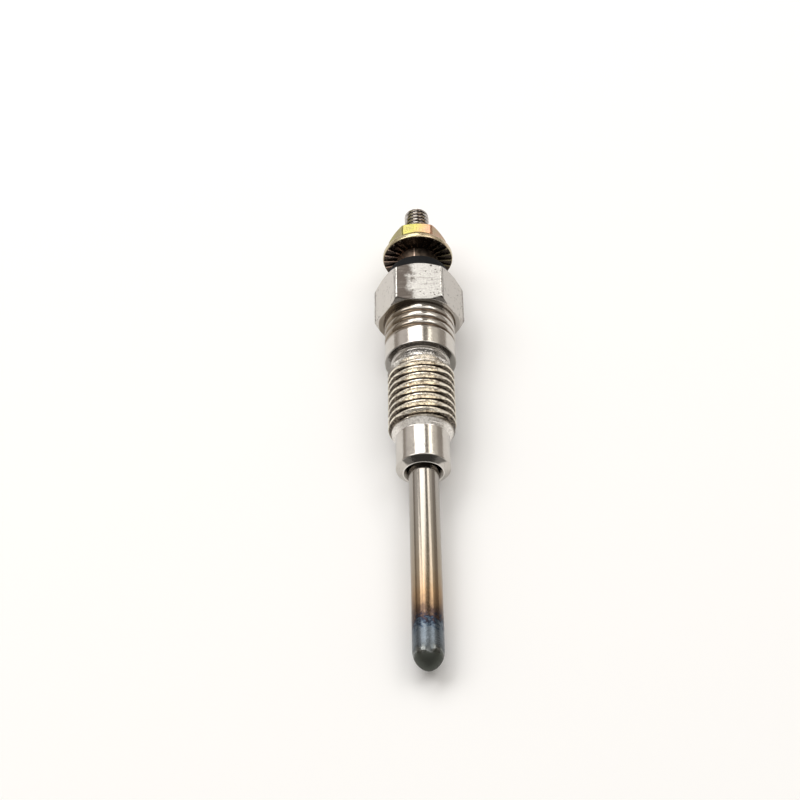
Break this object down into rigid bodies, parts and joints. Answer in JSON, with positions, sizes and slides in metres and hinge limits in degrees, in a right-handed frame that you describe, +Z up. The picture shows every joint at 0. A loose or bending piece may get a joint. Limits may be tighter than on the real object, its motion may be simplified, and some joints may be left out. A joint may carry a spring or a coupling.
{
  "type": "diesel glow plug",
  "caption": "Sheathed diesel glow plug with a spanner hexagon, threaded body, conical seat, long round-tipped heater and a stud terminal with a serrated flange nut.",
  "frame": {"origin": "on the ground plane, under the middle of the plug's bounding box, with the plug lying at rest on the front end of its thread and the front edge of the hexagon's lower flat", "axes": "+Y along the ground from the heater tip towards the terminal, +Z up, +X across; the plug's own axis rises 3.01 degrees towards the terminal"},
  "size_m": [0.0138, 0.0818, 0.0124],
  "materials": {
    "nickel_plate": "bright nickel plating over turned steel",
    "heater_alloy": "ground heat-resistant alloy, heat-tinted straw to blue at the tip",
    "packed_powder": "compacted magnesium oxide",
    "coil_wire": "bare resistance wire",
    "seal_rubber": "matt",
    "bare_steel": "dark rolled steel",
    "black_moulding": "moulded phenolic resin",
    "dark_steel": "dark plated, smooth",
    "yellow_plate": "yellow passivated zinc plating over steel"
  },
  "bodies": {
    "root": {"housing": "nickel_plate", "heater_sheath": "heater_alloy", "insulating_powder": "packed_powder", "heating_coil": "coil_wire", "regulating_coil": "coil_wire", "sheath_seal": "seal_rubber", "centre_rod": "bare_steel", "o_ring": "seal_rubber", "insulating_bush": "black_moulding", "pinch_ring": "dark_steel", "terminal_nut": "yellow_plate"}
  },
  "joints": []
}
